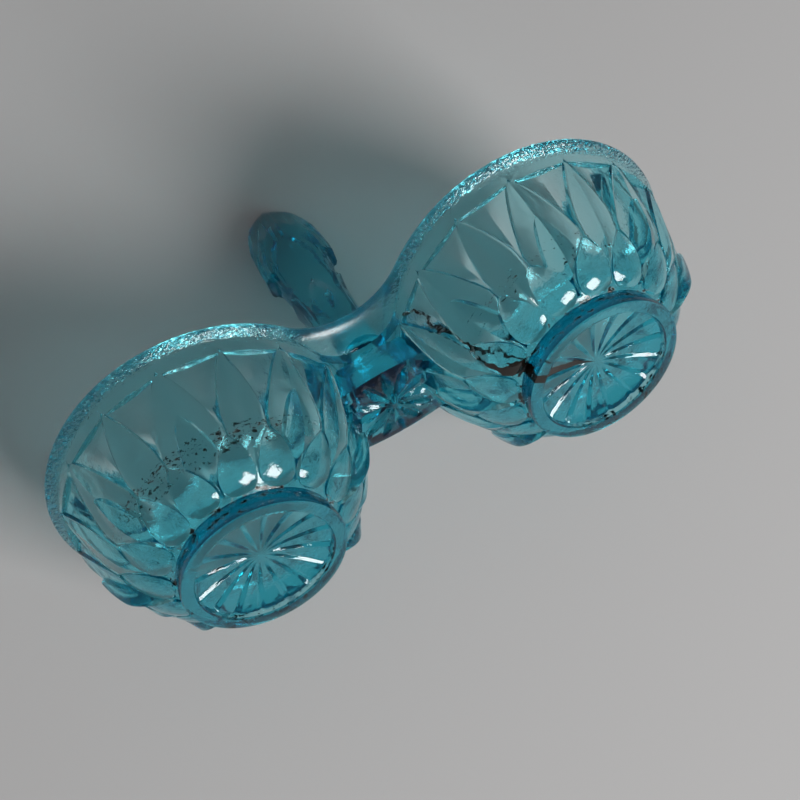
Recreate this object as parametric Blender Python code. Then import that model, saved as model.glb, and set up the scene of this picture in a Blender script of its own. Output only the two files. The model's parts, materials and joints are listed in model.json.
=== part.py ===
"""Pressed-glass double salt cellar: two footed bowls joined by a bridge, with a handle.

One glass pressing, modelled as its nine named regions, which meet face to face across
a narrow gap. X runs from the left bowl to the right one, and Z goes up from the feet.
"""

import math

import bmesh
import bpy
from mathutils import Vector

# Driving dimensions, in metres.
FOOT_RADIUS = 0.0160
FOOT_HEIGHT = 0.0040
RIM_RADIUS = 0.0320
RIM_HEIGHT = 0.0304
BOWL_OFFSET = 0.03586
HANDLE_TOP = 0.0896
GAP = 0.0003

# The foot: a flat ring round a recessed star.
RING_INNER_RADIUS = 0.0132
FOOT_EDGE = 0.0004
RECESS_EDGE_DEPTH = 0.0009
RECESS_DEPTH = 0.0036
RECESS_STEPS = 4
STAR_RAYS = 16
RAY_DEPTH = 0.0006
STAR_HUB_RADIUS = 0.0018

# The bowl wall.
BOWL_BOTTOM_RADIUS = 0.0158
WALL_CURVE = 0.40
BAND_BOTTOM = 0.0262
BAND_RADIUS = 0.0306
LIP_BOTTOM = 0.0278
LIP_ROUNDING = 0.0003
WALL_AT_RIM = 0.0032
FLOOR_HEIGHT = 0.0086
FLOOR_RADIUS = 0.0190
INNER_STEPS = 7
INNER_CURVE = 0.8

# The relief: eight wide petals and eight narrow ones over sixteen drops.
PETAL_PERIODS = 8
PERIOD = math.tau / PETAL_PERIODS
WIDE_HALF_ANGLE = math.radians(13.5)
PETAL_FOOT = 0.0100
PETAL_TIP = 0.0260
PETAL_RIDGE = 0.0008
PETAL_STEPS = 7
DROP_BULGE = 0.0010
DROP_STEPS = 4

# The bridge at rim height and the star boss under it.
BRIDGE_HALF_WIDTH = 0.0160
BRIDGE_LOWER_HALF_WIDTH = 0.0098
BRIDGE_BOTTOM = 0.0266
BOSS_BOTTOM = 0.0184
BOSS_SHOULDER = 0.0196
BOSS_TOP_HALF_WIDTH = 0.0096
BOSS_STAR_RADIUS = 0.0066
BOSS_RAYS = 12
BOSS_STAR_DEPTH = 0.0005
BOSS_SIDE_STRETCH = 1.2
BOSS_STAR_SHARES = (0.12, 0.55, 1.0)
BOSS_SIDE_SHARES = (0.4, 1.0)
CUTTER_SIDES = 96
CUTTER_SHARES = (0.1, 0.25, 0.4, 0.55, 0.7, 0.85, 1.0)
NECK_ARC_STEPS = 8
WALL_CLEARANCE = PETAL_RIDGE / 2 + GAP

# The handle: half widths along X and half thicknesses along Y at rising heights.
HANDLE_ROOT = (0.0068, 0.0062)
HANDLE_NECK_HEIGHT = 0.0380
HANDLE_NECK = (0.0051, 0.0046)
LOWER_STEP_HEIGHT = 0.0562
LOWER_STEP = (0.0061, 0.0048)
WAIST = (0.0056, 0.0048)
UPPER_STEP_HEIGHT = 0.0650
WAIST_TOP = (0.0067, 0.0052)
HEAD_FOOT = (0.0082, 0.0052)
HEAD_SHOULDER_HEIGHT = 0.0765
HEAD_SHOULDER = (0.0077, 0.0053)
HEAD_UPPER_HEIGHT = 0.0848
HEAD_UPPER = (0.0052, 0.0032)
HEAD_TIP = (0.0020, 0.0012)
HANDLE_FACETS = 12
HANDLE_FLATNESS = 0.8

GLASS_TEAL = (0.16, 0.55, 0.62)


def clear_scene():
    for item in list(bpy.data.objects):
        bpy.data.objects.remove(item, do_unlink=True)


def glass(name):
    """Clear teal soda glass, with the smooth fire-polished surface of a pressing."""
    material = bpy.data.materials.new(name)
    material.use_nodes = True
    shader = material.node_tree.nodes["Principled BSDF"]
    shader.inputs["Base Color"].default_value = (*GLASS_TEAL, 1.0)
    shader.inputs["Roughness"].default_value = 0.05
    shader.inputs["Metallic"].default_value = 0.0
    shader.inputs["Transmission Weight"].default_value = 0.9
    shader.inputs["IOR"].default_value = 1.52
    return material


def add_object(name, mesh_data, location=(0.0, 0.0, 0.0)):
    """An object of its own for one region, with faces out and creases kept sharp."""
    bmesh.ops.recalc_face_normals(mesh_data, faces=mesh_data.faces)
    mesh = bpy.data.meshes.new(name)
    mesh_data.to_mesh(mesh)
    mesh_data.free()
    mesh.shade_smooth()
    mesh.set_sharp_from_angle(angle=math.radians(25))
    mesh.materials.append(glass(name + "_glass"))
    item = bpy.data.objects.new(name, mesh)
    item.location = location
    bpy.context.collection.objects.link(item)
    return item


def skin(sections):
    """A closed body through rings of points that all have the same count."""
    body = bmesh.new()
    rings = [[body.verts.new(point) for point in section] for section in sections]
    for lower, upper in zip(rings, rings[1:]):
        for index in range(len(lower)):
            after = (index + 1) % len(lower)
            body.faces.new((lower[index], lower[after], upper[after], upper[index]))
    for end in (rings[0], rings[-1]):
        hub = body.verts.new(sum((vert.co for vert in end), Vector()) / len(end))
        for index in range(len(end)):
            body.faces.new((hub, end[index], end[(index + 1) % len(end)]))
    return body


def petal_angles():
    """Column angles that fall on each ridge and valley and half way between."""
    half_narrow = PERIOD / 2 - WIDE_HALF_ANGLE
    marks = [
        0.0,
        WIDE_HALF_ANGLE / 2,
        WIDE_HALF_ANGLE,
        WIDE_HALF_ANGLE + half_narrow / 2,
        PERIOD / 2,
        PERIOD - WIDE_HALF_ANGLE - half_narrow / 2,
        PERIOD - WIDE_HALF_ANGLE,
        PERIOD - WIDE_HALF_ANGLE / 2,
    ]
    return [turn * PERIOD + mark for turn in range(PETAL_PERIODS) for mark in marks]


def wall_radius(height):
    """Outer radius of the plain bowl wall at a height above the table."""
    rise = (height - FOOT_HEIGHT) / (BAND_BOTTOM - FOOT_HEIGHT)
    return BOWL_BOTTOM_RADIUS + (BAND_RADIUS - BOWL_BOTTOM_RADIUS) * rise**WALL_CURVE


def ridge(angle):
    """1 on a petal's ridge, falling evenly to 0 in the valley beside it."""
    offset = abs((angle + PERIOD / 2) % PERIOD - PERIOD / 2)
    if offset <= WIDE_HALF_ANGLE:
        return 1.0 - offset / WIDE_HALF_ANGLE
    return (offset - WIDE_HALF_ANGLE) / (PERIOD / 2 - WIDE_HALF_ANGLE)


def relief(angle, height):
    """How far the petals and drops stand out from the plain wall."""
    if height <= PETAL_FOOT:
        along = (height - FOOT_HEIGHT) / (PETAL_FOOT - FOOT_HEIGHT)
        lobe = 0.5 - 0.5 * math.cos(2 * PETAL_PERIODS * angle)
        return DROP_BULGE * math.sin(math.pi * along) * lobe
    along = (height - PETAL_FOOT) / (PETAL_TIP - PETAL_FOOT)
    return PETAL_RIDGE * math.sin(math.pi * along) * (ridge(angle) - 0.5)


def ring(angles, radius, height):
    return [(radius * math.cos(a), radius * math.sin(a), height) for a in angles]


def outer_sections(angles):
    """Rings up the outside of a bowl, from above its foot to under its band."""
    heights = [FOOT_HEIGHT + GAP]
    for step in range(1, DROP_STEPS + 1):
        heights.append(FOOT_HEIGHT + (PETAL_FOOT - FOOT_HEIGHT) * step / DROP_STEPS)
    for step in range(1, PETAL_STEPS):
        heights.append(PETAL_FOOT + (PETAL_TIP - PETAL_FOOT) * step / PETAL_STEPS)
    sections = []
    for height in heights:
        plain = wall_radius(height)
        points = []
        for angle in angles:
            radius = plain + relief(angle, height)
            points.append((radius * math.cos(angle), radius * math.sin(angle), height))
        sections.append(points)
    return sections


def inner_sections(angles):
    """Rings down the smooth inside of a bowl, from the rim to the edge of its floor."""
    rim_inner = RIM_RADIUS - WALL_AT_RIM
    sections = []
    for step in range(INNER_STEPS + 1):
        turn = math.pi / 2 * step / INNER_STEPS
        radius = FLOOR_RADIUS + (rim_inner - FLOOR_RADIUS) * math.cos(turn) ** INNER_CURVE
        height = RIM_HEIGHT - (RIM_HEIGHT - FLOOR_HEIGHT) * math.sin(turn)
        sections.append(ring(angles, radius, height))
    return sections


def add_bowl(name, centre_x):
    """A bowl: pressed petals outside, a plain band and lip, and a smooth inside."""
    angles = petal_angles()
    sections = outer_sections(angles)
    sections.append(ring(angles, BAND_RADIUS, BAND_BOTTOM))
    sections.append(ring(angles, RIM_RADIUS - LIP_ROUNDING, LIP_BOTTOM))
    sections.append(ring(angles, RIM_RADIUS, LIP_BOTTOM + LIP_ROUNDING))
    sections.append(ring(angles, RIM_RADIUS, RIM_HEIGHT - LIP_ROUNDING))
    sections.append(ring(angles, RIM_RADIUS - LIP_ROUNDING, RIM_HEIGHT))
    sections += inner_sections(angles)
    return add_object(name, skin(sections), (centre_x, 0.0, 0.0))


def star_ring(angles, radius, height, rays, dip):
    """A ring of a cut star, where each ray dips into the glass along its middle."""
    points = []
    for angle in angles:
        level = height + dip * abs(math.cos(angle * rays / 2))
        points.append((radius * math.cos(angle), radius * math.sin(angle), level))
    return points


def add_foot(name, centre_x):
    """A foot: an upright wall, a flat ring to stand on and a domed star inside it."""
    angles = [math.tau * step / (4 * STAR_RAYS) for step in range(4 * STAR_RAYS)]
    rise = RECESS_DEPTH - RECESS_EDGE_DEPTH
    sections = []
    for step in range(RECESS_STEPS + 1):
        share = step / RECESS_STEPS
        radius = STAR_HUB_RADIUS + (RING_INNER_RADIUS - STAR_HUB_RADIUS) * share
        height = RECESS_EDGE_DEPTH + rise * (1.0 - share**2)
        dip = RAY_DEPTH * math.sin(math.pi * share)
        sections.append(star_ring(angles, radius, height, STAR_RAYS, dip))
    sections.append(ring(angles, RING_INNER_RADIUS + FOOT_EDGE, 0.0))
    sections.append(ring(angles, FOOT_RADIUS - FOOT_EDGE, 0.0))
    sections.append(ring(angles, FOOT_RADIUS, FOOT_EDGE))
    sections.append(ring(angles, FOOT_RADIUS, FOOT_HEIGHT - FOOT_EDGE))
    sections.append(ring(angles, FOOT_RADIUS - FOOT_EDGE, FOOT_HEIGHT))
    return add_object(name, skin(sections), (centre_x, 0.0, 0.0))


def add_bowl_cutter(name, centre_x):
    """The space that a bowl and its clearance take out of the bridge and the boss."""
    angles = [math.tau * step / CUTTER_SIDES for step in range(CUTTER_SIDES)]
    sections = [ring(angles, BOWL_BOTTOM_RADIUS, FOOT_HEIGHT)]
    for share in CUTTER_SHARES:
        height = FOOT_HEIGHT + (BAND_BOTTOM - FOOT_HEIGHT) * share
        radius = wall_radius(height) + WALL_CLEARANCE
        sections.append(ring(angles, radius, height))
    sections.append(ring(angles, RIM_RADIUS + GAP, LIP_BOTTOM))
    sections.append(ring(angles, RIM_RADIUS + GAP, RIM_HEIGHT + 2 * GAP))
    cutter = add_object(name, skin(sections), (centre_x, 0.0, 0.0))
    cutter.hide_render = True
    cutter.display_type = "WIRE"
    return cutter


def cut_by_bowls(item, cutters):
    for cutter in cutters:
        cut = item.modifiers.new("cut_" + cutter.name, "BOOLEAN")
        cut.operation = "DIFFERENCE"
        cut.solver = "EXACT"
        cut.object = cutter


def neck_outline(half_width, height):
    """The bridge's outline: two hollow sides whose arcs run into the two rims."""
    reach = BOWL_OFFSET**2 + half_width**2 - RIM_RADIUS**2
    arc_radius = reach / (2 * (RIM_RADIUS - half_width))
    arc_centre = half_width + arc_radius
    sweep = math.atan2(BOWL_OFFSET, arc_centre)
    points = []
    for side in (-1, 1):
        for step in range(NECK_ARC_STEPS + 1):
            turn = sweep * (2 * step / NECK_ARC_STEPS - 1) * -side
            x = arc_radius * math.sin(turn)
            y = side * (arc_centre - arc_radius * math.cos(turn))
            points.append((x, y, height))
    return points


def add_bridge(cutters):
    """The bridge: the two rims run into one flat plate that carries the handle."""
    sections = [
        neck_outline(BRIDGE_LOWER_HALF_WIDTH, BRIDGE_BOTTOM),
        neck_outline(BRIDGE_HALF_WIDTH, RIM_HEIGHT - 2 * LIP_ROUNDING),
        neck_outline(BRIDGE_HALF_WIDTH - LIP_ROUNDING, RIM_HEIGHT),
    ]
    bridge = add_object("bridge", skin(sections))
    cut_by_bowls(bridge, cutters)
    return bridge


def add_star_boss(cutters):
    """The boss under the bridge: a plug between the bowls that ends in a cut star."""
    angles = [math.tau * step / (4 * BOSS_RAYS) for step in range(4 * BOSS_RAYS)]
    sections = []
    for share in BOSS_STAR_SHARES:
        level = BOSS_BOTTOM + (BOSS_SHOULDER - BOSS_BOTTOM) * share**2
        dip = BOSS_STAR_DEPTH * share
        sections.append(star_ring(angles, BOSS_STAR_RADIUS * share, level, BOSS_RAYS, dip))
    top = BRIDGE_BOTTOM - GAP
    for share in BOSS_SIDE_SHARES:
        reach = BOSS_STAR_RADIUS + (BOSS_TOP_HALF_WIDTH - BOSS_STAR_RADIUS) * share
        height = BOSS_SHOULDER + (top - BOSS_SHOULDER) * share
        for_side = ring(angles, reach, height)
        sections.append([(x * BOSS_SIDE_STRETCH, y, z) for x, y, z in for_side])
    boss = add_object("star_boss", skin(sections))
    cut_by_bowls(boss, cutters)
    return boss


def handle_section(half_size, height):
    """A flattened section with a broad front and back and narrow edges."""
    half_width, half_thickness = half_size
    points = []
    for step in range(HANDLE_FACETS):
        angle = math.tau * step / HANDLE_FACETS
        x = half_width * math.copysign(abs(math.cos(angle)) ** HANDLE_FLATNESS, math.cos(angle))
        y = half_thickness * math.copysign(abs(math.sin(angle)) ** HANDLE_FLATNESS, math.sin(angle))
        points.append((x, y, height))
    return points


def add_handle():
    """The handle, from the bridge up: a stem, a waist and a bud-shaped head."""
    root = RIM_HEIGHT + GAP
    stem = [
        handle_section(HANDLE_ROOT, root),
        handle_section(HANDLE_NECK, HANDLE_NECK_HEIGHT),
        handle_section(LOWER_STEP, LOWER_STEP_HEIGHT),
    ]
    waist = [
        handle_section(WAIST, LOWER_STEP_HEIGHT + GAP),
        handle_section(WAIST_TOP, UPPER_STEP_HEIGHT),
    ]
    head = [
        handle_section(HEAD_FOOT, UPPER_STEP_HEIGHT + GAP),
        handle_section(HEAD_SHOULDER, HEAD_SHOULDER_HEIGHT),
        handle_section(HEAD_UPPER, HEAD_UPPER_HEIGHT),
        handle_section(HEAD_TIP, HANDLE_TOP),
    ]
    add_object("handle_stem", skin(stem))
    add_object("handle_waist", skin(waist))
    add_object("handle_head", skin(head))


def build():
    clear_scene()
    sides = {"left": -BOWL_OFFSET, "right": BOWL_OFFSET}
    cutters = []
    for side, centre_x in sides.items():
        add_foot(side + "_foot", centre_x)
        add_bowl(side + "_bowl", centre_x)
        cutters.append(add_bowl_cutter(side + "_cutter", centre_x))
    add_bridge(cutters)
    add_star_boss(cutters)
    add_handle()


build()
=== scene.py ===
import json
import math

import bpy
from mathutils import Euler, Matrix, Vector

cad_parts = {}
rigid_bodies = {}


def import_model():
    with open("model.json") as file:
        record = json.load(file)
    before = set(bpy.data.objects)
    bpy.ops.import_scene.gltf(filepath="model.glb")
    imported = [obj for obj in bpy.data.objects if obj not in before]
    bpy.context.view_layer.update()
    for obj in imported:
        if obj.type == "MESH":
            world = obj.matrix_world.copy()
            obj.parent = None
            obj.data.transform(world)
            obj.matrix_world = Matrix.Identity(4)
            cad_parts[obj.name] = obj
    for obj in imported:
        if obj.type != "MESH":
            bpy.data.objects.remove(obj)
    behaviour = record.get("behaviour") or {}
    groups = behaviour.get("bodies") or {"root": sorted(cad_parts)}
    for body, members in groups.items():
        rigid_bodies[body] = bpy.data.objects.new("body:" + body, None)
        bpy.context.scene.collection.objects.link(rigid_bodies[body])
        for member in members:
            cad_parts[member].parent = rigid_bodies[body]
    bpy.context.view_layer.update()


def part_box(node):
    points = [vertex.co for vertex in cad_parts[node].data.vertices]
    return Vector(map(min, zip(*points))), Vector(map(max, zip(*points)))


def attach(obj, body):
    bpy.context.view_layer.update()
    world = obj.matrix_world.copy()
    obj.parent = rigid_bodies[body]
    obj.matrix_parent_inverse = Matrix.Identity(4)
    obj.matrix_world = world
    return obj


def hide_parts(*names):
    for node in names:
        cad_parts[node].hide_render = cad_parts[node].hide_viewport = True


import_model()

# ---------------------------------------------------------------------------
# Bowls. Open salt bowls on their feet, pressed in soda-lime glass: an iron
# mould gives the petals, the drops and the star, a polished plunger the inside.
# The profile is spun, and the mould's pattern is then pressed into the wall.
# ---------------------------------------------------------------------------

foot_low, foot_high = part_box("left_foot")
bowl_low, bowl_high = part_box("left_bowl")
bowl_x = -(bowl_low.x + bowl_high.x) / 2
foot_radius = (foot_high.x - foot_low.x) / 2
rim_radius = (bowl_high.x - bowl_low.x) / 2
rim_height = bowl_high.z

PERIODS = 8
HALF_PERIOD = math.pi / PERIODS
COLUMNS = 22                 # over half a period, from a wide petal's ridge to a narrow one's
LEAF_COLUMN, BEVEL_COLUMN = 3, 4
WIDE_EDGE, GROOVE, NARROW_EDGE = 8, 13, 18
VALLEY = math.radians(13.5)  # where a wide petal meets a narrow one, from the wide ridge
COUNT = 2 * COLUMNS * PERIODS


def mix(a, b, share):
    return a + (b - a) * share


def clamp(value, low=0.0, high=1.0):
    return max(low, min(high, value))


def ease(low, high, value):
    t = clamp((value - low) / (high - low))
    return t * t * (3.0 - 2.0 * t)


def deselect_all():
    for item in bpy.context.view_layer.objects:
        item.select_set(False)


def curve_through(marks, count):
    """Evenly spaced points along a smooth curve through a few marks."""
    knots = [marks[0], *marks, marks[-1]]
    dense = []
    for before, start, end, after in zip(knots, knots[1:], knots[2:], knots[3:]):
        for step in range(24):
            t = step / 24
            dense.append(tuple(
                0.5 * (2 * b + (c - a) * t + (2 * a - 5 * b + 4 * c - d) * t * t
                       + (3 * b - a - 3 * c + d) * t ** 3)
                for a, b, c, d in zip(before, start, end, after)))
    dense.append(marks[-1])
    lengths = [0.0]
    for one, two in zip(dense, dense[1:]):
        lengths.append(lengths[-1] + math.dist(one, two))
    even, at = [], 0
    for step in range(count + 1):
        goal = lengths[-1] * step / count
        while at < len(lengths) - 2 and lengths[at + 1] < goal:
            at += 1
        span = lengths[at + 1] - lengths[at]
        share = (goal - lengths[at]) / span if span else 0.0
        even.append(tuple(mix(a, b, share) for a, b in zip(dense[at], dense[at + 1])))
    return even


# Profile marks are (radius, height) in metres, from the star's middle to the bowl's floor.
STAR_ROWS, WALL_ROWS = 16, 54
RECESS_RADIUS = 0.0131
recess = curve_through([(0.0, 0.0034), (0.0040, 0.0032), (0.0085, 0.0025), (0.0120, 0.0016),
                        (RECESS_RADIUS, 0.0012)], STAR_ROWS)
foot = [(0.01325, 0.0003), (0.0135, 0.0), (0.0154, 0.0), (0.01585, 0.00015),
        (foot_radius, 0.0006), (0.01595, 0.0016), (0.0158, 0.0027), (0.01555, 0.0036)]
wall = curve_through([(0.0156, 0.0040), (0.0188, 0.0056), (0.0225, 0.0091), (0.0254, 0.0141),
                      (0.0279, 0.0203), (0.0301, 0.0261)], WALL_ROWS)
band = [(0.0302, 0.0268), (0.03025, 0.0276), (0.0303, 0.0283), (0.03015, 0.0285),
        (0.0303, 0.02867), (0.0308, 0.02897), (0.0313, 0.02926), (0.0317, 0.0295),
        (0.0319, 0.0297), (rim_radius, 0.0300), (rim_radius - 0.00007, 0.0303),
        (rim_radius - 0.0004, rim_height)]
inside = [(rim_radius - 0.0030, rim_height),
          *curve_through([(rim_radius - 0.0034, rim_height - 0.0005), (0.0284, 0.0285),
                          (0.0274, 0.0240), (0.0257, 0.0185), (0.0234, 0.0134),
                          (0.0203, 0.0103), (0.0165, 0.0091), (0.0090, 0.0085),
                          (0.0, 0.0084)], 18)]
profile = [*recess, *foot, *wall, *band, *inside]

deselect_all()
bpy.ops.mesh.primitive_plane_add(size=0.001)
left_bowl = bpy.context.object
left_bowl.name = "left_bowl_glass"
bpy.ops.object.mode_set(mode="EDIT")
bpy.ops.mesh.merge(type="CENTER")
at = Vector((0.0, 0.0, 0.0))
for index, (radius, height) in enumerate(profile):
    point = Vector((radius, 0.0, height))
    if index == 0:
        bpy.ops.transform.translate(value=point)
    else:
        bpy.ops.mesh.extrude_vertices_move(TRANSFORM_OT_translate={"value": point - at})
    at = point
bpy.ops.mesh.select_all(action="SELECT")
bpy.ops.mesh.spin(steps=COUNT, angle=math.tau, center=(0.0, 0.0, 0.0), axis=(0.0, 0.0, 1.0))
bpy.ops.mesh.select_all(action="SELECT")
bpy.ops.mesh.remove_doubles(threshold=2e-6)
bpy.ops.mesh.normals_make_consistent(inside=False)
bpy.ops.object.mode_set(mode="OBJECT")

EGG_LOW, EGG_HIGH = 0.01, 0.40     # the drops' ends, as shares of the wall from foot to band
LEAF_TIP = 0.64
VALLEY_SHARE = 0.45                # where the petals part, on the same scale
SCALLOP_DIP = 0.042
EGG_WIDTH = math.radians(10.2)
LEAF_WIDTH = math.radians(8.4)
EGG_BULGE = 0.0010
PETAL_STEP = 0.00042
STEP_WIDTH = math.radians(0.24)
BAND_STEP, SCALLOP_STEP = 0.00042, 0.014   # the band's edge: height, and share of the wall
BEAD_WIDTH = math.radians(0.75)
BEAD_HEIGHT = 0.00022
WIDE_RIDGE, NARROW_RIDGE, GROOVE_DEPTH = 0.0007, 0.0006, 0.0011
LEAF_EDGE, LEAF_RIDGE = 0.0006, 0.0009
LEAST = math.radians(0.12)         # creases never come closer, so no facet closes up


def wall_at(share):
    """(radius, height, outward radial part, outward height part) at a share of the wall."""
    place = clamp(share) * WALL_ROWS
    row = min(int(place), WALL_ROWS - 1)
    (r0, z0), (r1, z1) = wall[row], wall[row + 1]
    length = math.dist(wall[row], wall[row + 1])
    part = place - row
    return mix(r0, r1, part), mix(z0, z1, part), (z1 - z0) / length, (r0 - r1) / length


def egg_width(share):
    s = clamp((share - EGG_LOW) / (EGG_HIGH - EGG_LOW))
    return EGG_WIDTH * math.sin(math.pi * s ** 0.56) ** 0.8 if 0.0 < s < 1.0 else 0.0


def egg_middle(share):
    s = clamp((share - EGG_LOW) / (EGG_HIGH - EGG_LOW))
    return mix(math.radians(11.25), VALLEY, s ** 1.5)


def creases(share):
    """The creases across half a period at one height: column, angle and relief."""
    rise = clamp((share - VALLEY_SHARE) / (1.0 - VALLEY_SHARE))
    if share < EGG_HIGH:
        middle, width = egg_middle(share), max(egg_width(share), LEAST)
        left, right = middle - width, middle + width
    else:
        left = min(VALLEY * (1.0 - rise) ** 0.78, VALLEY - 4 * LEAST)
        right = max(HALF_PERIOD - (HALF_PERIOD - VALLEY) * (1.0 - rise ** 1.5), VALLEY + 4 * LEAST)
        middle = mix(VALLEY, math.radians(11.6), rise)
    left = max(left, 6 * LEAST)
    right = min(right, HALF_PERIOD - 6 * LEAST)
    leaf = LEAF_WIDTH * clamp((LEAF_TIP - share) / 0.30) ** 0.62
    bevel = mix(left * BEVEL_COLUMN / WIDE_EDGE, max(leaf, LEAST),
                ease(LEAF_TIP + 0.10, LEAF_TIP, share))
    edge = STEP_WIDTH * ease(0.0, 0.06, left - 3 * LEAST) if share >= EGG_HIGH else 0.0
    bevel = clamp(bevel, LEAST, left - edge - LEAST)
    inner = max(bevel - math.radians(1.2), 0.72 * bevel)
    in_eggs = 1.0 - ease(EGG_HIGH - 0.02, EGG_LOW + 0.10, share)
    lip = PETAL_STEP * ease(0.0, 0.10, 1.0 - rise) * in_eggs
    petal = lip + WIDE_RIDGE * ease(0.0, 0.40, 1.0 - rise) * in_eggs
    narrow = lip + NARROW_RIDGE * ease(0.0, 0.50, 1.0 - rise) * in_eggs
    groove = GROOVE_DEPTH * ease(0.0, 0.30, rise)
    leaf_edge = LEAF_EDGE * (leaf > 0.0) * ease(EGG_LOW + 0.05, EGG_LOW + 0.16, share)
    leaf_ridge = LEAF_RIDGE * leaf / LEAF_WIDTH * (leaf_edge > 0.0)
    beside = mix(petal, lip, bevel / left)
    bead = BEAD_HEIGHT * in_eggs * ease(0.0, 0.10, 1.0 - rise)
    near_left = max(mix(bevel, left - edge, 0.6), left - edge - BEAD_WIDTH)
    near_right = min(mix(right + edge, HALF_PERIOD, 0.3), right + edge + BEAD_WIDTH)
    return [(0, 0.0, petal + leaf_edge + leaf_ridge), (LEAF_COLUMN, inner, beside + leaf_edge),
            (BEVEL_COLUMN, bevel, beside - 0.3 * leaf_edge),
            (WIDE_EDGE - 1, near_left, mix(petal, lip, near_left / left)),
            (WIDE_EDGE, left - edge, lip + bead),
            (WIDE_EDGE + 1, left + edge, 0.0), (GROOVE, middle, -groove),
            (NARROW_EDGE - 1, right - edge, 0.0), (NARROW_EDGE, right + edge, lip + bead),
            (NARROW_EDGE + 1, near_right,
             mix(lip, narrow, (near_right - right) / (HALF_PERIOD - right))),
            (COLUMNS, HALF_PERIOD, narrow)]


def on_wall(angle, share, relief):
    radius, height, out_r, out_z = wall_at(share)
    radius += relief * out_r
    return Vector((radius * math.cos(angle), radius * math.sin(angle), height + relief * out_z))


def pattern_point(column, share, on_band=False):
    """A point of the pressed pattern. Between creases the facets are flat."""
    turn, within = divmod(column, 2 * COLUMNS)
    mirrored = within > COLUMNS
    half = 2 * COLUMNS - within if mirrored else within
    dip = math.sin(math.pi * half / COLUMNS) ** 0.8 if 0 < half < COLUMNS else 0.0
    share *= 1.0 - SCALLOP_DIP * dip * share ** 4
    marks = creases(share)
    if on_band:
        marks = [(c, a, BAND_STEP) for c, a, _ in marks]
    for (c0, a0, h0), (c1, a1, h1) in zip(marks, marks[1:]):
        if c0 <= half <= c1:
            part = (half - c0) / (c1 - c0)
            point = on_wall(a0, share, h0).lerp(on_wall(a1, share, h1), part)
            break
    if share < EGG_HIGH and WIDE_EDGE < half < NARROW_EDGE:
        across = 2.0 * (half - WIDE_EDGE) / (NARROW_EDGE - WIDE_EDGE) - 1.0
        bulge = EGG_BULGE * (egg_width(share) / EGG_WIDTH) ** 0.7 * (1.0 - across * across) ** 0.5
        _, _, out_r, out_z = wall_at(share)
        angle = math.atan2(point.y, point.x)
        point += bulge * Vector((out_r * math.cos(angle), out_r * math.sin(angle), out_z))
    if mirrored:
        point.y = -point.y
        turn += 1
    return Matrix.Rotation(2 * HALF_PERIOD * turn, 3, "Z") @ point


RAYS, RAY_DEPTH = 16, 0.0004


def star_point(angle, radius, height):
    """Sixteen narrow V cuts in the domed recess, like the rays of a star."""
    share = radius / RECESS_RADIUS
    ray = math.tau / RAYS
    off = abs((angle + ray / 2) % ray - ray / 2) / (ray / 2)
    reach = mix(0.55, 0.32, ease(0.10, 0.60, share))
    depth = RAY_DEPTH * ease(0.06, 0.40, share)
    height += depth * max(0.0, 1.0 - off / reach)
    return Vector((radius * math.cos(angle), radius * math.sin(angle), height))


for vert in left_bowl.data.vertices:
    angle = math.atan2(vert.co.y, vert.co.x)
    radius, height = math.hypot(vert.co.x, vert.co.y), vert.co.z
    row = min(range(len(profile)), key=lambda i: math.dist(profile[i], (radius, height)))
    column = round(angle / HALF_PERIOD * COLUMNS) % COUNT
    if row <= STAR_ROWS:
        vert.co = star_point(angle, radius, height)
    elif 0 <= row - STAR_ROWS - 1 - len(foot) <= WALL_ROWS:
        row -= STAR_ROWS + 1 + len(foot)
        on_band = row == WALL_ROWS
        share = min(1.0, row / (WALL_ROWS - 1))
        vert.co = pattern_point(column, share if on_band else share - SCALLOP_STEP, on_band)
left_bowl.data.transform(Matrix.Translation((-bowl_x, 0.0, 0.0)))

deselect_all()
left_bowl.select_set(True)
bpy.ops.object.duplicate()
right_bowl = bpy.context.object
right_bowl.name = "right_bowl_glass"
right_bowl.data.transform(Matrix.Translation((2 * bowl_x, 0.0, 0.0)))

# ---------------------------------------------------------------------------
# Bridge. The flat plate where the two rims run together, pressed with them in
# one gob of glass. Its edges sweep from rim to rim and its sides slope inwards.
# ---------------------------------------------------------------------------

ARC_STEPS, HIDDEN_STEPS = 32, 12
HIDDEN_RADIUS = rim_radius - 0.0016   # the plate ends inside the bowls' walls


def close_ends(item, merge=2e-6):
    """Caps a rolled sheet and turns its faces outwards."""
    bpy.context.view_layer.objects.active = item
    bpy.ops.object.mode_set(mode="EDIT")
    bpy.ops.mesh.select_mode(type="VERT")
    bpy.ops.mesh.select_all(action="SELECT")
    bpy.ops.mesh.remove_doubles(threshold=merge)
    bpy.ops.mesh.select_all(action="DESELECT")
    bpy.ops.mesh.select_non_manifold()
    bpy.ops.mesh.edge_face_add()
    bpy.ops.mesh.select_all(action="SELECT")
    bpy.ops.mesh.normals_make_consistent(inside=False)
    bpy.ops.object.mode_set(mode="OBJECT")


def rolled_sheet(name, rings):
    """A flat sheet rolled into a tube that passes through rings of points."""
    deselect_all()
    columns, rows = len(rings[0]), len(rings)
    bpy.ops.mesh.primitive_grid_add(x_subdivisions=columns, y_subdivisions=rows - 1, size=1.0)
    sheet = bpy.context.object
    sheet.name = name
    for index, vert in enumerate(sheet.data.vertices):
        row, column = divmod(index, columns + 1)
        vert.co = rings[row][column % columns]
    return sheet


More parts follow.
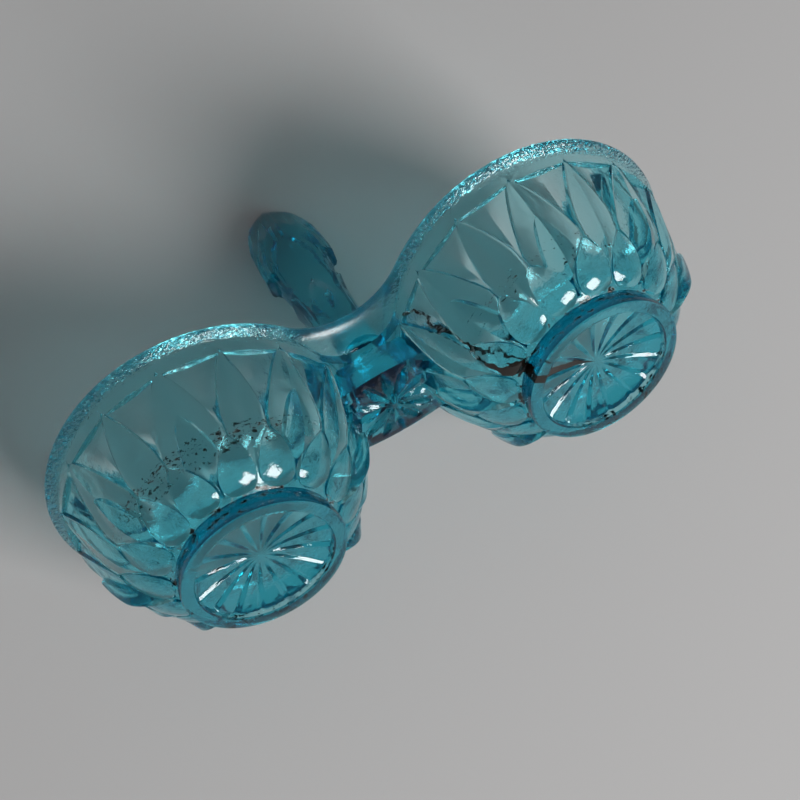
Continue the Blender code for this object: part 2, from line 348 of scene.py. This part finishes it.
def sweep_outline(half_width, radius, height):
    """The plate's outline at one height: two arcs that meet both rims smoothly."""
    arc = (bowl_x ** 2 + half_width ** 2 - radius ** 2) / (2 * (radius - half_width))
    middle = half_width + arc
    reach = math.atan2(bowl_x, middle)
    points = []
    for step in range(ARC_STEPS + 1):
        turn = mix(-reach, reach, step / ARC_STEPS)
        points.append(Vector((arc * math.sin(turn), arc * math.cos(turn) - middle, height)))
    into = math.atan2(middle, bowl_x) - math.radians(2.0)
    for step in range(HIDDEN_STEPS + 1):
        turn = mix(-into, into, step / HIDDEN_STEPS)
        inside_radius = min(HIDDEN_RADIUS, radius - 0.0006)
        points.append(Vector((bowl_x - inside_radius * math.cos(turn),
                              inside_radius * math.sin(turn), height)))
    return points + [Vector((-p.x, -p.y, p.z)) for p in points]


plate_rings = [sweep_outline(half_width, radius, height) for half_width, radius, height in (
    (0.0084, 0.0301, 0.0256), (0.0085, 0.0302, 0.0268), (0.0086, 0.0303, 0.0279),
    (0.0106, 0.0305, 0.0281), (0.0126, 0.0307, 0.0284), (0.0142, 0.0310, 0.0287),
    (0.0151, 0.0314, 0.0291), (0.0156, 0.0317, 0.0295), (0.0159, 0.0319, 0.0299),
    (0.0158, 0.0319, 0.03035))]
# The mould's joint leaves a fine beaded line where the plate meets the plug below it.
for index, point in enumerate(plate_rings[2]):
    point.z -= 0.00014 * (index % 2)
plate = rolled_sheet("bridge_glass", plate_rings)
close_ends(plate)

# ---------------------------------------------------------------------------
# Boss. The solid plug of glass under the bridge, between the two bowls. The
# mould leaves a small star of lens-shaped cuts on its flat end.
# ---------------------------------------------------------------------------

boss_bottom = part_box("star_boss")[0].z
BOSS_FACE_STEPS, BOSS_SIDE_STEPS = 36, 16
BOSS_RAYS, BOSS_STAR_ROWS = 12, 18
STAR_REACH, STAR_DEPTH = 0.0092, 0.0010
BOSS_DOME = 0.0010
SHOULDER_HALF, FACE_SWELL = 0.0079, 0.0009


def wall_radius(height):
    """The pressed wall's plain radius at a height."""
    for (r0, z0), (r1, z1) in zip(wall, wall[1:]):
        if z0 <= height <= z1:
            return mix(r0, r1, (height - z0) / (z1 - z0))
    return wall[-1][0]


def boss_outline(half_width, height, swell):
    """The plug's outline: two nearly flat faces, and sides buried in the bowls' walls."""
    buried = wall_radius(height) - 0.0008
    corner = bowl_x - math.sqrt(buried ** 2 - half_width ** 2)
    points = []
    for step in range(BOSS_FACE_STEPS):
        x = mix(-corner, corner, step / BOSS_FACE_STEPS)
        points.append(Vector((x, -half_width - swell * (1.0 - (x / corner) ** 2), height)))
    turn = math.asin(half_width / buried)
    for step in range(BOSS_SIDE_STEPS):
        angle = mix(-turn, turn, step / BOSS_SIDE_STEPS)
        points.append(Vector((bowl_x - buried * math.cos(angle), buried * math.sin(angle), height)))
    return points + [Vector((-p.x, -p.y, p.z)) for p in points]


def star_cut(point):
    """Depth of the small star at a point of the plug's end, in metres."""
    reach = math.hypot(point.x, point.y) / STAR_REACH
    ray = math.tau / BOSS_RAYS
    angle = math.atan2(point.y, point.x)
    off = abs((angle + ray / 2) % ray - ray / 2) * reach
    if not 0.08 < reach < 0.97:
        return 0.0
    lens = 0.15 * math.sin(math.pi * ((reach - 0.08) / 0.89) ** 0.8) ** 0.8
    return STAR_DEPTH * max(0.0, 1.0 - off / lens) * min(1.0, lens / 0.10)


boss_rings = []
shoulder = boss_outline(SHOULDER_HALF, boss_bottom + BOSS_DOME, FACE_SWELL)
for row in range(BOSS_STAR_ROWS + 1):
    share = row / BOSS_STAR_ROWS
    ring = []
    for point in shoulder:
        spot = Vector((point.x * share, point.y * share, boss_bottom + BOSS_DOME * share ** 2))
        spot.z += star_cut(spot)
        ring.append(spot)
    boss_rings.append(ring)
for half_width, rise, swell in ((0.0083, 0.0018, 0.0009), (0.0086, 0.0030, 0.0009),
                                (0.0087, 0.0045, 0.0007), (0.0087, 0.0062, 0.0004),
                                (0.0086, 0.0080, 0.0), (0.0080, 0.0096, 0.0)):
    boss_rings.append(boss_outline(half_width, boss_bottom + rise, swell))
boss = rolled_sheet("boss_glass", boss_rings)
close_ends(boss)

# ---------------------------------------------------------------------------
# Handle. An upright grip of solid glass, pressed in the same mould: a stem with
# a fan of leaf cuts, a waist between two side notches, and a bud-shaped head
# with a pointed panel and fluted sides.
# ---------------------------------------------------------------------------

handle_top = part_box("handle_head")[1].z
# height, half width and half thickness
handle_marks = [(0.0290, 0.0066, 0.0108), (0.0304, 0.0064, 0.0102), (0.0309, 0.0062, 0.0088),
                (0.0318, 0.0059, 0.0071), (0.0335, 0.0056, 0.0058), (0.0355, 0.0054, 0.0051),
                (0.0385, 0.0052, 0.0047), (0.0420, 0.0051, 0.0047), (0.0470, 0.0052, 0.0046),
                (0.0500, 0.0053, 0.0047), (0.0540, 0.0058, 0.0048), (0.0561, 0.0062, 0.0048),
                (0.0564, 0.0056, 0.0048), (0.0580, 0.0056, 0.0049), (0.0610, 0.0062, 0.0050),
                (0.0651, 0.0067, 0.0052), (0.0654, 0.0081, 0.0052), (0.0680, 0.0082, 0.0053),
                (0.0720, 0.0080, 0.0053), (0.0765, 0.0077, 0.0053), (0.0800, 0.0069, 0.0047),
                (0.0830, 0.0060, 0.0038), (0.0855, 0.0049, 0.0030), (0.0875, 0.0036, 0.0021),
                (0.0890, 0.0022, 0.0014), (handle_top, 0.0008, 0.0007)]
PANEL_HALF = 0.0048
ARCH_FOOT, ARCH_TOP = 0.0700, 0.0790
SEPAL_FOOT, SEPAL_TIP = 0.0478, 0.0562
SEPAL_RIDGE, SIDE_SEPAL_RIDGE = 0.0011, 0.0009
FLUTE_DEPTH, PANEL_STEP, PANEL_HOLLOW = 0.0004, 0.0003, 0.00035


def handle_size(height):
    for (z0, w0, t0), (z1, w1, t1) in zip(handle_marks, handle_marks[1:]):
        if z0 <= height <= z1:
            part = (height - z0) / (z1 - z0)
            return mix(w0, w1, part), mix(t0, t1, part)
    return handle_marks[-1][1:]


def sepal(x, width, height):
    """How far the pointed leaves round the stem's top stand out, in metres."""
    up = clamp((height - SEPAL_FOOT) / (SEPAL_TIP - SEPAL_FOOT))
    if height > SEPAL_TIP:
        return 0.0
    middle = 0.0040 * (1.0 - up) ** 0.7
    side = (width - 0.0036) * (1.0 - up) ** 0.7
    grow = ease(0.0400, 0.0480, height)
    if abs(x) < middle:
        return SEPAL_RIDGE * (1.0 - abs(x) / middle) * grow
    if width - abs(x) < side:
        return SIDE_SEPAL_RIDGE * (1.0 - (width - abs(x)) / side) * grow
    return 0.0


def handle_ring(height):
    width, thick = handle_size(height)
    panel = min(PANEL_HALF, 0.80 * width)
    if height > ARCH_FOOT:
        panel *= math.sqrt(clamp(1.0 - (height - ARCH_FOOT) / (ARCH_TOP - ARCH_FOOT)))
    panel = max(panel, 0.10 * width)
    rest = width - panel
    fluted = ease(0.0560, 0.0640, height) * ease(0.0860, 0.0790, height)
    step_in = PANEL_STEP * ease(0.0556, 0.0580, height)
    hollow = PANEL_HOLLOW * ease(0.0566, 0.0600, height) * panel / PANEL_HALF
    # distance from the middle, and depth below the front
    marks = [(0.0, hollow), (0.45 * panel, 0.7 * hollow), (panel, 0.0),
             (panel + 0.16 * rest, 0.08 * thick + step_in + FLUTE_DEPTH * fluted),
             (panel + 0.42 * rest, 0.16 * thick + step_in),
             (panel + 0.70 * rest, 0.32 * thick + step_in + FLUTE_DEPTH * fluted),
             (panel + 0.86 * rest, 0.42 * thick + step_in), (width, 0.58 * thick + step_in)]
    counts = (4, 5, 2, 3, 3, 2, 2)
    half = [(0.0, marks[0][1])]
    for (x0, d0), (x1, d1), count in zip(marks, marks[1:], counts):
        half += [(mix(x0, x1, step / count), mix(d0, d1, step / count))
                 for step in range(1, count + 1)]
    front = [(-x, d) for x, d in reversed(half[1:])] + half
    oval = ease(0.0400, 0.0330, height)
    points = []
    for x, depth in front:
        depth = mix(depth, thick * (1.0 - math.sqrt(1.0 - (0.98 * x / width) ** 2)), oval)
        points.append(Vector((x, -(thick - depth + sepal(x, width, height)), height)))
    return points + [Vector((-p.x, -p.y, p.z)) for p in points]


heights = [0.0290 + 0.0012 * step for step in range(13)]
heights += [0.0450 + 0.0004 * step for step in range(28)]
heights += [0.0564, 0.0570, 0.0580, 0.0592, 0.0605, 0.0620, 0.0635, 0.0646, 0.0651, 0.0654]
heights += [0.0660 + 0.0008 * step for step in range(30)]
heights = sorted({round(h, 5) for h in heights if h < handle_top - 0.0003}) + [handle_top]
handle = rolled_sheet("handle_glass", [handle_ring(height) for height in heights])
close_ends(handle, merge=0.00002)  # the creases run together at the tip

# All of it is one pressing, so the pieces are melted into one closed skin.
SLIVER = 4e-6                      # shorter edges than this are leftovers of the union
CREASE = math.radians(22.0)        # facets that meet at more than this keep a sharp edge
glass = left_bowl
glass.name = "salt_cellar_glass"
for piece in (right_bowl, plate, boss, handle):
    join = glass.modifiers.new(piece.name, "BOOLEAN")
    join.operation = "UNION"
    join.solver = "EXACT"
    join.object = piece
    bpy.context.view_layer.objects.active = glass
    bpy.ops.object.modifier_apply(modifier=join.name)
    bpy.data.objects.remove(piece)
deselect_all()
glass.select_set(True)
bpy.context.view_layer.objects.active = glass
bpy.ops.object.mode_set(mode="EDIT")
bpy.ops.mesh.select_mode(type="VERT")
bpy.ops.mesh.select_all(action="SELECT")
bpy.ops.mesh.remove_doubles(threshold=SLIVER)
bpy.ops.mesh.dissolve_degenerate(threshold=SLIVER)
bpy.ops.object.mode_set(mode="OBJECT")
bpy.ops.object.shade_smooth_by_angle(angle=CREASE)

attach(glass, "root")
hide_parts("left_bowl", "right_bowl", "left_foot", "right_foot", "bridge", "star_boss",
            "handle_stem", "handle_waist", "handle_head")


def from_hex(code):
    """A linear colour from an sRGB hex code."""
    parts = [int(code[i:i + 2], 16) / 255 for i in (0, 2, 4)]
    return [p / 12.92 if p <= 0.04045 else ((p + 0.055) / 1.055) ** 2.4 for p in parts] + [1.0]


def new_material(name):
    material = bpy.data.materials.new(name)
    material.use_nodes = True
    material.node_tree.nodes.clear()
    return material


def add_node(material, kind, links=None, values=None, **settings):
    """Adds one node. Links go from another node's output to this node's input."""
    node = material.node_tree.nodes.new(kind)
    for key, value in settings.items():
        setattr(node, key, value)
    for key, value in (values or {}).items():
        node.inputs[key].default_value = value
    for key, source in (links or {}).items():
        material.node_tree.links.new(source, node.inputs[key])
    return node


# Soda-lime glass coloured teal all through and pressed hot in an iron mould. It is clear
# and glossy, pale where it is thin and deep teal where it is thick.
pressed = new_material("teal_soda_lime_pressed_glass")
place = add_node(pressed, "ShaderNodeTexCoord").outputs["Object"]
axes = add_node(pressed, "ShaderNodeSeparateXYZ", {"Vector": place}).outputs
away = add_node(pressed, "ShaderNodeMath", {0: axes["X"]}, operation="ABSOLUTE").outputs[0]

# The rims' flanges were never fire-polished, so they keep the mould's coarse, glittering
# skin, with grains about 0.8 mm across. It fades out where the rims run into the bridge.
above = add_node(pressed, "ShaderNodeMapRange", {"Value": axes["Z"]},
                 {"From Min": 0.0282, "From Max": 0.0287}).outputs[0]
below = add_node(pressed, "ShaderNodeMapRange", {"Value": axes["Z"]},
                 {"From Min": 0.0305, "From Max": 0.0309, "To Min": 1.0, "To Max": 0.0}).outputs[0]
off_bridge = add_node(pressed, "ShaderNodeMapRange", {"Value": away},
                      {"From Min": 0.0080, "From Max": 0.0140}).outputs[0]
on_rim = add_node(pressed, "ShaderNodeMath", {0: above, 1: below}, operation="MULTIPLY").outputs[0]
rim = add_node(pressed, "ShaderNodeMath", {0: on_rim, 1: off_bridge},
               operation="MULTIPLY").outputs[0]
grain = add_node(pressed, "ShaderNodeTexNoise", {"Vector": place},
                 {"Scale": 1300.0, "Detail": 1.5, "Roughness": 0.6}).outputs["Fac"]
rim_grain = add_node(pressed, "ShaderNodeMath", {0: grain, 1: rim}, operation="MULTIPLY").outputs[0]
rim_skin = add_node(pressed, "ShaderNodeBump", {"Height": rim_grain},
                    {"Strength": 1.0, "Distance": 0.00032}).outputs["Normal"]
# Chill marks: the slight waviness, 1.5 mm from crest to crest and finer, of glass that set
# against a cool iron mould.
chill = add_node(pressed, "ShaderNodeTexNoise", {"Vector": place},
                 {"Scale": 700.0, "Detail": 4.0, "Roughness": 0.6}).outputs["Fac"]
ripple = add_node(pressed, "ShaderNodeBump", {"Height": chill, "Normal": rim_skin},
                  {"Strength": 0.30, "Distance": 0.0002}).outputs["Normal"]

# Old kitchen dirt: dark flecks about 1 mm long round both bowls' floors, larger ones on the
# foot walls, and a brown-black streak down the outside of the right bowl to its foot.
across = add_node(pressed, "ShaderNodeMath", {0: away}, {1: bowl_x},
                  operation="SUBTRACT").outputs[0]
flat = add_node(pressed, "ShaderNodeCombineXYZ", {"X": across, "Y": axes["Y"]}).outputs["Vector"]
from_axis = add_node(pressed, "ShaderNodeVectorMath", {0: flat},
                     operation="LENGTH").outputs["Value"]
floor_edge = add_node(pressed, "ShaderNodeMath", {0: from_axis}, {1: 0.0224, 2: 0.0024},
                      operation="COMPARE").outputs[0]
floor_low = add_node(pressed, "ShaderNodeMath", {0: axes["Z"]}, {1: 0.0120, 2: 0.0016},
                     operation="COMPARE").outputs[0]
floor_band = add_node(pressed, "ShaderNodeMath", {0: floor_edge, 1: floor_low},
                      operation="MULTIPLY").outputs[0]
front = add_node(pressed, "ShaderNodeMapRange", {"Value": axes["Y"]},
                 {"From Min": -0.0110, "From Max": -0.0170}).outputs[0]
floor_dirt = add_node(pressed, "ShaderNodeMath", {0: floor_band, 1: front},
                      operation="MULTIPLY").outputs[0]
foot_edge = add_node(pressed, "ShaderNodeMath", {0: from_axis}, {1: 0.0159, 2: 0.0006},
                     operation="COMPARE").outputs[0]
foot_low = add_node(pressed, "ShaderNodeMath", {0: axes["Z"]}, {1: 0.0025, 2: 0.0020},
                    operation="COMPARE").outputs[0]
foot_dirt = add_node(pressed, "ShaderNodeMath", {0: foot_edge, 1: foot_low},
                     operation="MULTIPLY").outputs[0]
stretch = add_node(pressed, "ShaderNodeMapping", {"Vector": place},
                   {"Scale": (1.0, 1.0, 2.4)}).outputs["Vector"]
fleck_noise = add_node(pressed, "ShaderNodeTexNoise", {"Vector": stretch},
                       {"Scale": 900.0, "Detail": 3.0, "Roughness": 0.65}).outputs["Fac"]
fewer = add_node(pressed, "ShaderNodeMapRange", {"Value": axes["X"]},
                 {"From Min": -0.01, "From Max": 0.01, "To Min": 0.565,
                  "To Max": 0.63}).outputs[0]
spare = add_node(pressed, "ShaderNodeMath", {0: fleck_noise, 1: fewer},
                 operation="SUBTRACT").outputs[0]
floor_flecks = add_node(pressed, "ShaderNodeMapRange", {"Value": spare},
                        {"From Max": 0.03}).outputs[0]
foot_noise = add_node(pressed, "ShaderNodeTexNoise", {"Vector": stretch},
                      {"Scale": 420.0, "Detail": 4.0, "Roughness": 0.65}).outputs["Fac"]
foot_flecks = add_node(pressed, "ShaderNodeMapRange", {"Value": foot_noise},
                       {"From Min": 0.565, "From Max": 0.60}).outputs[0]
on_floor = add_node(pressed, "ShaderNodeMath", {0: floor_flecks, 1: floor_dirt},
                    operation="MULTIPLY").outputs[0]
on_foot = add_node(pressed, "ShaderNodeMath", {0: foot_flecks, 1: foot_dirt},
                   operation="MULTIPLY").outputs[0]
flecks = add_node(pressed, "ShaderNodeMath", {0: on_floor, 1: on_foot},
                  operation="MAXIMUM").outputs[0]
# The streak wanders as it runs down, and gets broader and blacker towards the foot.
azimuth = add_node(pressed, "ShaderNodeMath", {0: axes["Y"], 1: across},
                   operation="ARCTAN2").outputs[0]
wander = add_node(pressed, "ShaderNodeTexNoise", {"Vector": place},
                  {"Scale": 160.0, "Detail": 3.0, "Roughness": 0.5}).outputs["Fac"]
path = add_node(pressed, "ShaderNodeMath", {0: wander, 2: azimuth}, {1: 0.55},
                operation="MULTIPLY_ADD").outputs[0]
streak_width = add_node(pressed, "ShaderNodeMapRange", {"Value": axes["Z"]},
                        {"From Min": 0.003, "From Max": 0.0075, "To Min": 0.11,
                         "To Max": 0.020}).outputs[0]
streak = add_node(pressed, "ShaderNodeMath", {0: path, 2: streak_width},
                  {1: math.radians(-150.0) + 0.275}, operation="COMPARE").outputs[0]
low_part = add_node(pressed, "ShaderNodeMath", {0: axes["Z"]}, {1: 0.0255},
                    operation="LESS_THAN").outputs[0]
right_side = add_node(pressed, "ShaderNodeMath", {0: axes["X"]}, {1: 0.006},
                      operation="GREATER_THAN").outputs[0]
stain = add_node(pressed, "ShaderNodeMath", {0: streak, 1: low_part},
                 operation="MULTIPLY").outputs[0]
stained = add_node(pressed, "ShaderNodeMath", {0: stain, 1: right_side},
                   operation="MULTIPLY").outputs[0]
thicker = add_node(pressed, "ShaderNodeMapRange", {"Value": axes["Z"]},
                   {"From Min": 0.014, "From Max": 0.004, "To Min": 0.02,
                    "To Max": 0.20}).outputs[0]
build_up = add_node(pressed, "ShaderNodeMath", {0: foot_noise, 1: thicker},
                    operation="ADD").outputs[0]
patchy = add_node(pressed, "ShaderNodeMapRange", {"Value": build_up},
                  {"From Min": 0.46, "From Max": 0.56}).outputs[0]
streaked = add_node(pressed, "ShaderNodeMath", {0: stained, 1: patchy},
                    operation="MULTIPLY").outputs[0]
dirt = add_node(pressed, "ShaderNodeMath", {0: flecks, 1: streaked},
                operation="MAXIMUM").outputs[0]
clean = add_node(pressed, "ShaderNodeMath", {1: dirt}, {0: 1.0}, operation="SUBTRACT").outputs[0]

# Only the bridge's own edge is satin. Everything else is bright.
rim_rough = add_node(pressed, "ShaderNodeMapRange", {"Value": off_bridge},
                     {"To Min": 0.26, "To Max": 0.06}).outputs[0]
rough = add_node(pressed, "ShaderNodeMapRange", {"Value": on_rim, "To Max": rim_rough},
                 {"To Min": 0.02}).outputs[0]
tint = add_node(pressed, "ShaderNodeMix", {"Factor": dirt},
                {"A": from_hex("DDF7FA"), "B": from_hex("14100C")}, data_type="RGBA")
glass_shader = add_node(pressed, "ShaderNodeBsdfPrincipled",
                        {"Normal": ripple, "Roughness": rough, "Transmission Weight": clean,
                         "Base Color": tint.outputs["Result"]}, {"IOR": 1.52})
body_colour = add_node(pressed, "ShaderNodeVolumeAbsorption", None,
                       {"Color": from_hex("00E7F0"), "Density": 190.0})
add_node(pressed, "ShaderNodeOutputMaterial",
         {"Surface": glass_shader.outputs["BSDF"], "Volume": body_colour.outputs["Volume"]})
glass.data.materials.clear()
glass.data.materials.append(pressed)

# ---------------------------------------------------------------------------
# Table. A plain pale sheet. The piece lies on its handle's tip and the backs of
# its rims, so the sheet touches all three. It shows from the lit side only.
# ---------------------------------------------------------------------------

SHEET_GAP = 0.0004
rest_normal = Vector((0.0, 0.880, 0.476)).normalized()
rest_point = Vector((0.0, 0.0, handle_top))
deselect_all()
bpy.ops.mesh.primitive_plane_add(size=3.0)
table = bpy.context.object
table.name = "table"
table.data.transform(rest_normal.to_track_quat("-Z", "Y").to_matrix().to_4x4())
table.data.transform(Matrix.Translation(rest_point + SHEET_GAP * rest_normal))
sheet = new_material("matt_pale_grey_paper")
paper = add_node(sheet, "ShaderNodeBsdfPrincipled", None, {
    "Base Color": from_hex("C4C3C4"), "Roughness": 0.9, "Specular IOR Level": 0.1})
clear = add_node(sheet, "ShaderNodeBsdfTransparent")
side = add_node(sheet, "ShaderNodeNewGeometry")
one_side = add_node(sheet, "ShaderNodeMixShader", {0: side.outputs["Backfacing"],
                                                   1: paper.outputs["BSDF"],
                                                   2: clear.outputs["BSDF"]})
add_node(sheet, "ShaderNodeOutputMaterial", {"Surface": one_side.outputs["Shader"]})
table.data.materials.append(sheet)

# ---------------------------------------------------------------------------
# Studio. One big soft lamp from the lower right and a dim, even room.
# ---------------------------------------------------------------------------

# The camera looks up at the underside from the front left, with the piece tilted in view.
camera_turn = Euler([math.radians(angle) for angle in (136.75, 25.875, 16.13)]).to_matrix()
camera_place = Vector((-0.02443, -0.16700, -0.12761))
right, up, toward = (Vector(camera_turn.col[i]) for i in range(3))


LAMP_AIM = Vector((0.0, 0.0, 0.035))


def add_lamp(name, direction, distance, size, power, colour):
    data = bpy.data.lights.new(name, "AREA")
    data.shape = "SQUARE"
    data.size = size
    data.energy = power
    data.color = from_hex(colour)[:3]
    lamp = bpy.data.objects.new(name, data)
    bpy.context.scene.collection.objects.link(lamp)
    lamp.location = LAMP_AIM + direction.normalized() * distance
    lamp.rotation_euler = direction.to_track_quat("Z", "Y").to_euler()
    return lamp


add_lamp("window", 0.95 * right - 0.45 * up + 0.95 * toward, 1.20, 0.52, 14.5, "FFFEFC")
room = bpy.data.worlds.new("room")
room.use_nodes = True
room.node_tree.nodes["Background"].inputs["Color"].default_value = from_hex("C6C8C8")
room.node_tree.nodes["Background"].inputs["Strength"].default_value = 0.28
bpy.context.scene.world = room

camera_data = bpy.data.cameras.new("camera")
camera_data.lens = 52.13
camera_data.sensor_width = 36.0
camera_data.clip_start = 0.01
camera = bpy.data.objects.new("camera", camera_data)
bpy.context.scene.collection.objects.link(camera)
camera.matrix_world = Matrix.Translation(camera_place) @ camera_turn.to_4x4()
bpy.context.scene.camera = camera
bpy.context.scene.view_settings.view_transform = "Standard"
bpy.context.scene.cycles.max_bounces = 24
bpy.context.scene.cycles.transmission_bounces = 24
bpy.context.scene.cycles.glossy_bounces = 12
